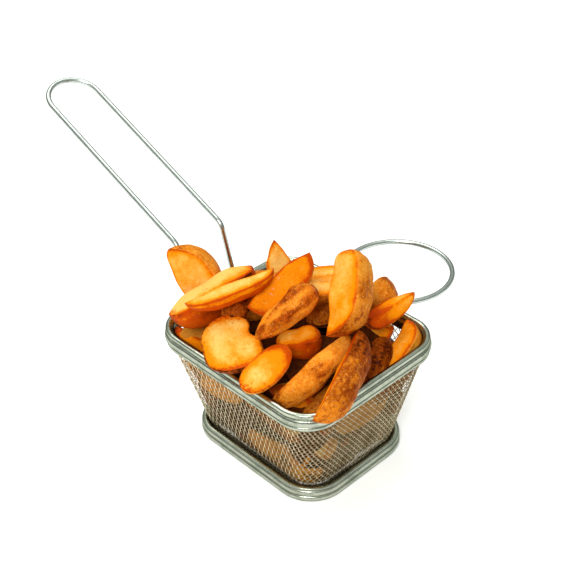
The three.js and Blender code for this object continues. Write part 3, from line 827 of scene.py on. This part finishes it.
def roast_shades(seed, points, s, shares, line, band, tip, folds,
                 tone=0.5, fade=0, toast=0.5, peeled=None, bare=1.0):
    """The values that the potato material reads at each point.

    Brown is line, band, tip and noise added up. Tone is that of the two cuts by their shares, and
    of a peeled back, plus fade times s, band and tip. Toast gets the fade, tip, noise and folds.
    """
    brown = 0.6 * line + 0.2 * band + 0.5 * tip + 0.3 * bumps(points, 9, seed + 160, 2) - 0.05
    first, second = np.broadcast_to(tone, 2)
    cuts, skin = first * shares[0] + second * shares[1], shares[2]
    if peeled is None:
        shade = cuts / np.maximum(shares[0] + shares[1], 1e-6)
    else:
        shade, skin = cuts + (peeled - 0.1 * folds) * skin, (1 - bare) * skin
    shade = shade + fade * s + 0.75 * band + 0.35 * tip
    burnt = toast + 0.8 * fade * s + 0.25 * tip + 0.35 * bumps(points, 7, seed + 200) - 0.2 * folds
    return dict(skin=skin, brown=np.clip(brown, 0, 1.4), tone=np.clip(shade, -0.4, 2), toast=burnt)


# %% Roughened surface
def roughened(seed, points, laid, skin, band, fullness, wrinkle):
    """Points moved outwards by what roasting does, and the skin's folds, from -1 to 1.

    Skin moves by bumps and folds, and a cut face by bumps, and inwards away from its crisp band.
    Outwards is the cross product of the grid's two directions. Folds stand up where their noise,
    drawn out along the wedge, is 0.
    """
    ahead = np.gradient(points, axis=0)
    outward = np.cross(np.roll(points, -1, axis=1) - np.roll(points, 1, axis=1), ahead)
    outward /= -np.maximum(np.linalg.norm(outward, axis=-1, keepdims=True), 1e-9)
    folds = np.clip(1 - 2.6 * np.abs(bumps(laid, 4, seed + 40, 2)), -1, 1)
    leather = 0.5 * bumps(points, 6.5, seed, 2) + 0.25 * wrinkle * folds
    shrunk = (0.3 * bumps(points, 8, seed + 80) + 0.1 * bumps(points, 1.8, seed + 120)
              - 0.5 * (1 - band) + 0.1)
    move = (skin * leather + (1 - skin) * shrunk) * np.clip(fullness, 0, 1)
    return points + move[..., None] * outward, folds


# %% [markdown]
# A wedge's numbers are its two tips and its roll about them; its width, its depth and edge, how far
# round the skin reaches; blunt and taper, how it ends; bow, flare, notch, wobble and lift, how it
# departs from straight and even; how wrinkled it is and how wide its crisp band is; and its shades:
# the tone of its cuts, one or two, the toast of its skin, and how both fade along it.

# %% Wedge surface
def wedge_surface(seed, start, end, roll, width, depth, edge=0.5, blunt=2.5, taper=0.55,
                  bow=0, flare=0, notch=None, wobble=0.04, lift=(0, 0), wrinkle=1.0,
                  crisp=USUAL_CRISP, rows=60, columns=80, **shades):
    """Points (rows, columns, 3) of one wedge, its two tips, and the values for its material.

    1 / distance to each side, from a point inside the section, is raised to a high power and
    summed, which joins the sides with small round edges. The section is scaled along the length by
    (1 - |s|^blunt)^taper, s running from -1 to 1.
    """
    origin, length, along, skinward, across = wedge_axes(start, end, roll)
    p1, p2, p3 = [((seed * 12.9898 + i * 78.233) * 1.7) % (2 * math.pi) for i in range(3)]
    s = -np.cos(np.pi * (np.arange(rows) + 0.6) / (rows + 0.2))[:, None]
    turn = (2 * np.pi * (np.arange(columns) + 0.5) / columns)[None, :]
    c, n = np.cos(turn), np.sin(turn)

    core, right, left, skin = section_sides(width, depth, edge, c, n)
    reach = sum(side**EDGE_SHARPNESS for side in (right, left, skin)) ** (-1 / EDGE_SHARPNESS)
    waves = (np.sin(4.2 * s + p1 + turn) + 0.7 * np.sin(6.3 * s + p2 - 2 * turn)
             + 0.5 * np.sin(6 * s + p3 + 3 * turn))
    reach = reach * (1 + wobble * waves)
    if notch:
        place, side, deep, wide = notch
        aside = np.arccos(np.clip(c * side, -1, 1))
        reach = reach * (1 - deep * near(s - place, wide) * near(aside, 0.9))
    power = np.where(s < 0, *np.broadcast_to(blunt, 2))
    swell = (1 - np.abs(s) ** power) ** taper
    fullness = swell * (1 + flare * s)
    rise = bow * (1 - s * s) + np.where(s < 0, lift[0], lift[1]) * depth * (1 - swell)
    points = (origin + (length * (s + 1) / 2)[..., None] * along
              + (reach * c * fullness)[..., None] * across
              + ((core + reach * n) * fullness + rise)[..., None] * skinward)
    tips = np.stack([origin + lift[0] * depth * skinward,
                     origin + length * along + lift[1] * depth * skinward])

    to_tip = length / 2 * (1 - np.abs(s))
    girth = reach * fullness
    shares, line, band, tip = browned_edges(right, left, skin, girth, to_tip, edge, crisp)
    laid = (points - origin) @ np.stack([0.35 * along, skinward, across], axis=-1)
    points, folds = roughened(seed, points, laid, shares[2], band, fullness, wrinkle)
    values = roast_shades(seed, points, s, shares, line, band, tip,
                          wrinkle * np.maximum(folds, FOLD_FLOOR), **shades)
    return points, tips, values


def with_tips(points, tips, values):
    """Points and values as lists, with the two tips last; a tip has the mean of its end ring."""
    lists = {label: np.concatenate([value.ravel(), value[[0, -1]].mean(axis=1)])
             for label, value in values.items()}
    return np.concatenate([points.reshape(-1, 3), tips]), lists


# %% [markdown]
# ## The top of the heap
#
# Thirty wedges show. Each line has a wedge's number, its two tips, roll, width and depth, in mm and
# degrees, and then the numbers in which it differs from a usual wedge.

# %% One wedge in place of its CAD node
def roast_wedge(number, *form, **finish):
    """One wedge as a closed mesh, in place of the CAD node of its number."""
    surface, tips, values = wedge_surface(number, *form, **finish)
    grid = surface.shape[:2]
    points, values = with_tips(surface, tips, values)
    wedge = add_piece(f"roast_wedge_{number:02d}", points, grid_faces(*grid), cap_faces(*grid),
                      values, potato)
    dress(wedge, "potato", f"wedge_{number:02d}")


# %% Wedges in front and in the middle
roast_wedge(1, (62, -50, 78), (37, 6, 86), 70, 19, 15, edge=0.6, blunt=(3.2, 3), taper=0.5, bow=1,
            flare=-0.1, tone=(0.75, 0.95), toast=0.92, fade=0.36, wrinkle=1.3)
roast_wedge(2, (28, -45, 66), (35, 3, 86), 80, 17, 14, blunt=(3, 2.6), taper=0.5, bow=-1,
            flare=-0.08, tone=0.5, toast=0.45, fade=-0.5, wrinkle=1.5)
roast_wedge(3, (-17, -35, 91), (12, -51, 82), -175, 31, 11, edge=0.12, blunt=(2.8, 3), taper=0.48,
            flare=0.06, notch=(-0.3, -1, 0.29, 0.26), wobble=0.015, tone=-0.02, toast=0.9,
            fade=0.15, wrinkle=0.8, crisp=4.8)
roast_wedge(4, (24, -59, 80), (22, -27, 88), -165, 18, 10, edge=0.12, blunt=(2.3, 2.6), taper=0.5,
            wobble=0.02, tone=0.3, toast=0.7, fade=0.5, wrinkle=0.8, crisp=3.2)
roast_wedge(5, (6, -34, 88), (12, 3, 103), 45, 16, 13, edge=0.45, blunt=(2, 3.4), flare=0.15,
            tone=0.6, toast=0.7, wrinkle=3.4, peeled=0.85, bare=0.4)
# Painted light and shade: wedge 6's face is a paler tone, painted light where it lies in shade, and
# its side and peeled back are deep rust, painted half-shade.
roast_wedge(6, (2, -18, 81), (17, 0, 85), 155, 25, 18, edge=0.35, blunt=(2.6, 3.4), taper=0.5,
            lift=(0.3, 0.4), tone=(0.4, 1.1), toast=0.85, fade=0.2, wrinkle=1.1, peeled=1.1)
roast_wedge(7, (34, -12, 92), (10, 16, 119), 90, 28, 22, edge=0.66, blunt=(2.8, 3.3), taper=0.48,
            bow=1, lift=(0, 0.4), tone=(0.38, 0.5), toast=0.5, fade=-0.18, wrinkle=1.6)
# Painted shadow and shade: fade darkens wedge 8 towards its end, where wedge 9's shadow falls, and
# its peeled back is deep rust, painted shade.
roast_wedge(8, (-50, -47, 84), (-35, 0, 99), 120, 25, 22, edge=0.58, blunt=3, taper=0.48, bow=-4,
            lift=(0.12, 0.1), tone=(-0.15, 0.85), toast=0.85, fade=0.28, wrinkle=0.9, crisp=4.6,
            peeled=1.18)
roast_wedge(9, (-29, -50, 101), (-7, -8, 112), 145, 14, 11, blunt=2.4, bow=-1, tone=(0.12, 0.6),
            toast=0.62, wrinkle=0.9, crisp=1.8, peeled=0.84)
roast_wedge(10, (-11, -24, 94), (-2, 13, 114), -180, 22, 19, edge=0.6, blunt=(3.6, 2.2), bow=-4,
            tone=(0.6, 0.9), toast=0.6, wrinkle=0.8)
roast_wedge(11, (-49, -30, 74), (-65, -37, 107), 60, 27, 25, edge=0.62, blunt=(2.4, 2.3), bow=1,
            flare=-0.08, lift=(0, 0.25), wobble=0.02, tone=(0.26, 0.6), toast=0.36, fade=0.1,
            wrinkle=1.8, crisp=2)
roast_wedge(12, (-18, 9, 86), (-29, 13, 110), -180, 14, 9, edge=0.12, blunt=(2.4, 1.3), taper=0.9,
            tone=0.16, toast=0.2, wrinkle=0.8, crisp=1.3)

# %% Wedges at the loop and behind
roast_wedge(13, (-11, 8, 92), (11, 27, 96), 160, 18, 13, edge=0.4, blunt=(2.6, 2.8), taper=0.5,
            tone=(0.05, 0.1), toast=0.6, wrinkle=0.8)
roast_wedge(14, (15, 36, 77), (20, 49, 91), 80, 20, 15, blunt=(2.6, 3), taper=0.52, tone=0.6,
            toast=0.2, fade=0.25, wrinkle=1.3)
roast_wedge(15, (36, 14, 87), (42, 46, 93), -155, 13, 11, blunt=(3.2, 1.9), taper=0.6,
            tone=(0.7, 0.8), toast=0.8, fade=-0.8, wrinkle=1.2, crisp=1.6)
roast_wedge(16, (18, 25, 75), (38, 35, 73), -170, 18, 13, edge=0.45, blunt=2.6, taper=0.52,
            tone=0.42, toast=0.1, peeled=0.7)
roast_wedge(17, (45, 11, 60), (39, 44, 75), 130, 20, 15, edge=0.45, blunt=(2.6, 3.4), taper=0.48,
            tone=(0.45, 0.32), toast=0.3, wrinkle=1.2, crisp=2)
# Painted shade: wedge 18 lies deep in the heap and is given a very dark tone and toast.
roast_wedge(18, (52, -3, 60), (35, 30, 66), 20, 14, 12, blunt=2.6, tone=1.5, toast=1.3, wrinkle=1.2)
roast_wedge(19, (-53, -39, 68), (-26, -34, 64), 170, 20, 13, edge=0.45, blunt=2.6, tone=(0.8, 0.85),
            toast=0.3, peeled=0.85)
roast_wedge(20, (-18, -34, 83), (-26, -12, 91), 30, 15, 12, blunt=(3.2, 2.8), taper=0.48, tone=0.9,
            toast=1.25, wrinkle=2)
roast_wedge(21, (-19, -20, 66), (5, -11, 66), -160, 18, 13, edge=0.4, blunt=2.4, taper=0.6,
            tone=0.8, toast=0.7)
roast_wedge(22, (15, -36, 53), (40, -22, 55), 50, 17, 13, edge=0.4, blunt=2.6, tone=1.4, toast=1.3,
            wrinkle=1.2)
roast_wedge(23, (7, 11, 64), (-6, 26, 74), -15, 15, 12, blunt=2.6, tone=1, toast=0.75, wrinkle=1.2)
roast_wedge(24, (-19, 19, 87), (7, 36, 93), -145, 17, 12, edge=0.4, blunt=(2.6, 2.8), taper=0.5,
            tone=(0.1, 0.15), toast=0.3, wrinkle=0.8)

# %% Wedges that carry others at the back
roast_wedge(25, (-48, -16, 67), (-48, 30, 66), 30, 20, 14, blunt=2.4, tone=0.7, toast=0.7)
roast_wedge(26, (-41, 38, 59), (-7, 34, 61), -20, 17, 13, blunt=(2.4, 2.6), tone=0.6, toast=0.8)
roast_wedge(27, (-10, 33, 64), (22, 37, 56), 20, 18, 14, blunt=2.4, tone=0.6, toast=0.7)
roast_wedge(28, (-37, 11, 77), (-15, 33, 85), -150, 19, 14, blunt=2.4, tone=0.6, toast=0.7)
roast_wedge(29, (22, 34, 62), (40, 4, 58), 160, 18, 14, blunt=2.4, tone=(0.9, 0.8), toast=0.8)
roast_wedge(30, (-27, -16, 73), (-35, 20, 81), 60, 18, 14, blunt=2.4, tone=(0.8, 0.7), toast=0.5)

# %% [markdown]
# ## The wedges below
#
# Through the mesh one sees more wedges, pressed against the wires, and dark gaps between them. They
# are made as the others are, on a coarser grid, and laid in rings along the wall, each turned and
# tilted a little. Whatever would come through the mesh is pressed flat against it.

# %% Pressing wedges against the mesh and joining them
random = np.random.default_rng(7)
FLOOR_CLEARANCE = 2


def pressed(points, clearance):
    """Moves points that come within the clearance of the sleeve straight inwards to it."""
    blend = np.clip((points[:, 2] - WALL_LOW) / (WALL_HIGH - WALL_LOW), 0, 1)
    around = {k: low + blend * (SLEEVE_TOP[k] - low) for k, low in SLEEVE_BASE.items()}
    over = beyond_straights(points, **around)
    size = np.maximum(np.linalg.norm(over, axis=-1), 1e-9)
    push = np.maximum(size - (around["corner"] - clearance), 0)
    moved = points.copy()
    moved[:, :2] -= np.sign(points[:, :2]) * over * (push / size)[:, None]
    moved[:, 2] = np.maximum(moved[:, 2], MESH_LOW + FLOOR_CLEARANCE)
    return moved


def join_wedges(name, node, specs, clearance, grid=(26, 34)):
    """Many coarse wedges in one mesh: their grids one after another, each face list shifted."""
    parts, faces = [], []
    for seed, gloom, spec in specs:
        points, values = with_tips(*wedge_surface(seed, rows=grid[0], columns=grid[1], **spec))
        faces.append(len(parts) * len(points))
        values.update(gloom=np.full(len(points), gloom), points=pressed(points, clearance))
        parts.append(values)
    values = {label: np.concatenate([part[label] for part in parts]) for label in parts[0]}
    quads, ends = (np.concatenate([each + shift for shift in faces])
                   for each in (grid_faces(*grid), cap_faces(*grid)))
    dress(add_piece(name, values.pop("points"), quads, ends, values, potato), "potato", node)


# %% [markdown]
# Most of them are darkened by painted shade, and here and there a fresh golden one, with less
# of it, lies against the wires. Places under a tenth and over nine tenths are round the corner of
# the -X and -Y sides, which the light reaches best, and golden ones there get the least painted
# shade. The lower half of the +X wall, from place 0.28 to 0.46, gets the most.

# %% Packed wedges against the mesh
LEVELS, IN_A_RING = (10, 21, 33, 45, 56), 10
GOLDEN_SPOTS = ((0.02, 54), (0.05, 45), (0.08, 40), (0.04, 30), (0.13, 26), (0.2, 16), (0.23, 30),
                (0.24, 50), (0.34, 52), (0.44, 46), (0.55, 24), (0.7, 40), (0.85, 28), (0.94, 54))
SPOT_ROUND, SPOT_UP = 0.045, 8
ROLLS = [-90, -90, -60, -120, 90, 20, 160]


def packed_shades(level, height, place):
    """Gloom (painted shade), tone and toast of a packed wedge, by its level, its height in mm
    and its place.
    """
    lit = place < 0.1 or place > 0.9
    if (height < LEVELS[-1] or lit) and any(
            abs(place - spot) < SPOT_ROUND and abs(height - rise) < SPOT_UP
            for spot, rise in GOLDEN_SPOTS):
        return 0.22 if place < 0.12 else 0.3 if lit else 0.4, 0.7 if level == 4 else 0.0, -0.1
    darkest = 0.28 < place < 0.46 and level < 3
    return 0.9 if darkest else 0.7 - 0.05 * level, 0.7, 0.7


packed = []
for level, height in enumerate(LEVELS):
    for k in range(IN_A_RING):
        place = (k + 0.5 * (level % 2) + random.uniform(-0.12, 0.12)) / IN_A_RING
        point, outward = sleeve(np.array([place]), np.array([float(height)]))
        point, outward = point[0], outward[0]
        round_wall = np.array([-outward[1], outward[0], 0]) / np.hypot(*outward[:2])
        width, depth = random.uniform(17, 23), random.uniform(12, 16)
        middle = point - outward * (depth / 2 + 2.5)
        way = unit(round_wall + random.uniform(-0.35, 0.35) * UPRIGHT)
        reach = random.uniform(18, 24) * way
        roll = random.choice(ROLLS) + random.uniform(-15, 15)
        gloom, tone, toast = packed_shades(level, height, place)
        packed.append((200 + 10 * level + k, gloom, dict(
            start=middle - reach, end=middle + reach, roll=roll, width=width, depth=depth,
            tone=tone, toast=toast)))
join_wedges("packed_wedges", "wedges_below", packed, 2.2)

# %% [markdown]
# ## A dark core
#
# A lumpy core of painted shade fills the middle, where nothing shows but shade: the sleeve
# shrunk by a clear distance and closed by a dome, its browned potato darkened nearly to black.
# It comes close to the mesh on the +X side, where the heap is dark right up to the wires, and
# keeps further away elsewhere, behind the golden wedges.

# %% Dark core
# Height and clear distance of each ring, in mm.
CORE_RINGS = ((6.5, 5), (7, 3.2), (14, 3.2), (22, 3.4), (35, 3.8), (50, 4), (56, 5), (61, 9),
              (66, 17), (69, 25), (72, 33))
CORE_TOP, CORE_GLOOM = 73.0, 0.85
# The middle of the +X wall, how far the core is close to the mesh on each side of it, and over how
# much more it moves away: shares of the way round. Then how far in mm, and between which heights.
WALL_MIDDLE, CLOSE_REACH, CLOSE_FADE = 0.37, 0.08, 0.05
STEP_BACK, STEP_LOW, STEP_HIGH = 2.4, 18, 56


def core_piece(columns=120):
    """Rings at the sleeve's point less the outward direction times the clear distance, which grows
    by the step back away from the +X wall. Bumps move each point by up to 3 in a hundred."""
    places = np.linspace(0, 1, columns, endpoint=False)
    away = np.clip((np.abs(places - WALL_MIDDLE) - CLOSE_REACH) / CLOSE_FADE, 0, 1)[:, None]
    rings = []
    for height, clear in CORE_RINGS:
        if STEP_LOW < height < STEP_HIGH:
            clear = clear + STEP_BACK * away
        point, outward = sleeve(places, np.full(columns, float(height)))
        point[:, :2] -= unit(outward[:, :2]) * clear
        rings.append(point)
    points = np.stack(rings)
    points = points * (1 + 0.03 * bumps(points, 11, 5, 2)[..., None])
    points = np.concatenate([points.reshape(-1, 3), [[0, 0, CORE_RINGS[0][0]], [0, 0, CORE_TOP]]])
    values = dict.fromkeys(("skin", "brown", "tone", "toast"), np.ones(len(points)))
    # Painted shade: the gloom darkens the core's colour nearly to black.
    values["gloom"] = np.full(len(points), CORE_GLOOM)
    return add_piece("heap_core", points, grid_faces(len(rings), columns),
                     cap_faces(len(rings), columns), values, potato)


dress(core_piece(), "browned_potato")

# %% [markdown]
# ## Floor, light and camera
#
# The part stands on a plain pale floor. One wide soft light hangs above, a smaller one stands high
# in front and gives the steel its highlights, and a pale surround fills the shade. The camera looks
# down at about 35 degrees on the corner that is furthest from the handle and the loop.

# %% Floor
def pale_floor(reach=4.0):
    """A flat square under the part, in metres. It glows a little, as a lit studio floor does."""
    mesh = bpy.data.meshes.new("floor")
    corners = [(-reach, -reach, 0), (reach, -reach, 0), (reach, reach, 0), (-reach, reach, 0)]
    mesh.from_pydata(corners, [], [(0, 1, 2, 3)])
    material, *_ = new_material("matt_white_board", Base_Color=linear("#F6F6F6"), Roughness=0.9,
                                Emission_Color=linear("#FFFFFF"), Emission_Strength=0.32)
    mesh.materials.append(material)
    return add_object("floor", mesh)


floor = pale_floor()
print("floor, m:", tuple(floor.dimensions))

# %% Light
def soft_light(name, offset, size, power, colour):
    """A square area light at an offset from the heap, in metres, turned so that its -Z points
    back at the heap."""
    light = bpy.data.lights.new(name, "AREA")
    light.size, light.energy, light.color = size, power, linear(colour)[:3]
    holder = add_object(name, light)
    holder.location = HEAP + Vector(offset)
    holder.rotation_euler = (-Vector(offset)).to_track_quat("-Z", "Y").to_euler()
    print(f"{name}: {size} m square, {power} W, {holder.location.z:.2f} m up")


HEAP = Vector(CENTRE) + Vector((0, 0, 0.06))
soft_light("overhead_softbox", (-0.4, 0.1, 1.05), 1.0, 7.0, "#FFFEFB")
soft_light("front_softbox", (0.4, -0.62, 0.75), 0.4, 6.0, "#FFFDF9")

world = bpy.data.worlds.new("pale_surround")
world.use_nodes = True
tree = world.node_tree
climb_up = add_node(tree, "SeparateXYZ", "Z", {0: add_node(tree, "TexCoord", "Generated")})
seen = add_node(tree, "LightPath", "Is Camera Ray")
surround = layered(tree, "#30352F", ("#D8DCD4", (climb_up, 0.05, 0.6)), ("#FFFFFF", seen))
fill_inputs(tree, tree.nodes["Background"], {"Color": surround, "Strength": 0.8})
bpy.context.scene.world = world
bpy.context.scene.view_settings.view_transform = "Standard"

# %% Camera
AZIMUTH, ELEVATION, ROLL = math.radians(47.375), math.radians(34.767), math.radians(-2.247)
DISTANCE, LENS = 0.5986, 68.15
TARGET = Vector(CENTRE) + Vector((-22.77, 16.12, 79.83)) * MM

back = Vector((math.sin(AZIMUTH) * math.cos(ELEVATION), -math.cos(AZIMUTH) * math.cos(ELEVATION),
               math.sin(ELEVATION)))
level = Vector((math.cos(AZIMUTH), math.sin(AZIMUTH), 0))
right = level * math.cos(ROLL) + back.cross(level) * math.sin(ROLL)
upward = back.cross(right)
camera_data = bpy.data.cameras.new("camera")
camera_data.lens, camera_data.sensor_width, camera_data.clip_start = LENS, 36.0, 0.01
camera = add_object("camera", camera_data)
turned = Matrix((right, upward, back)).transposed().to_4x4()
camera.matrix_world = Matrix.Translation(TARGET + back * DISTANCE) @ turned
bpy.context.scene.camera = camera
print("camera at, mm:", [round(v / MM, 1) for v in camera.location])
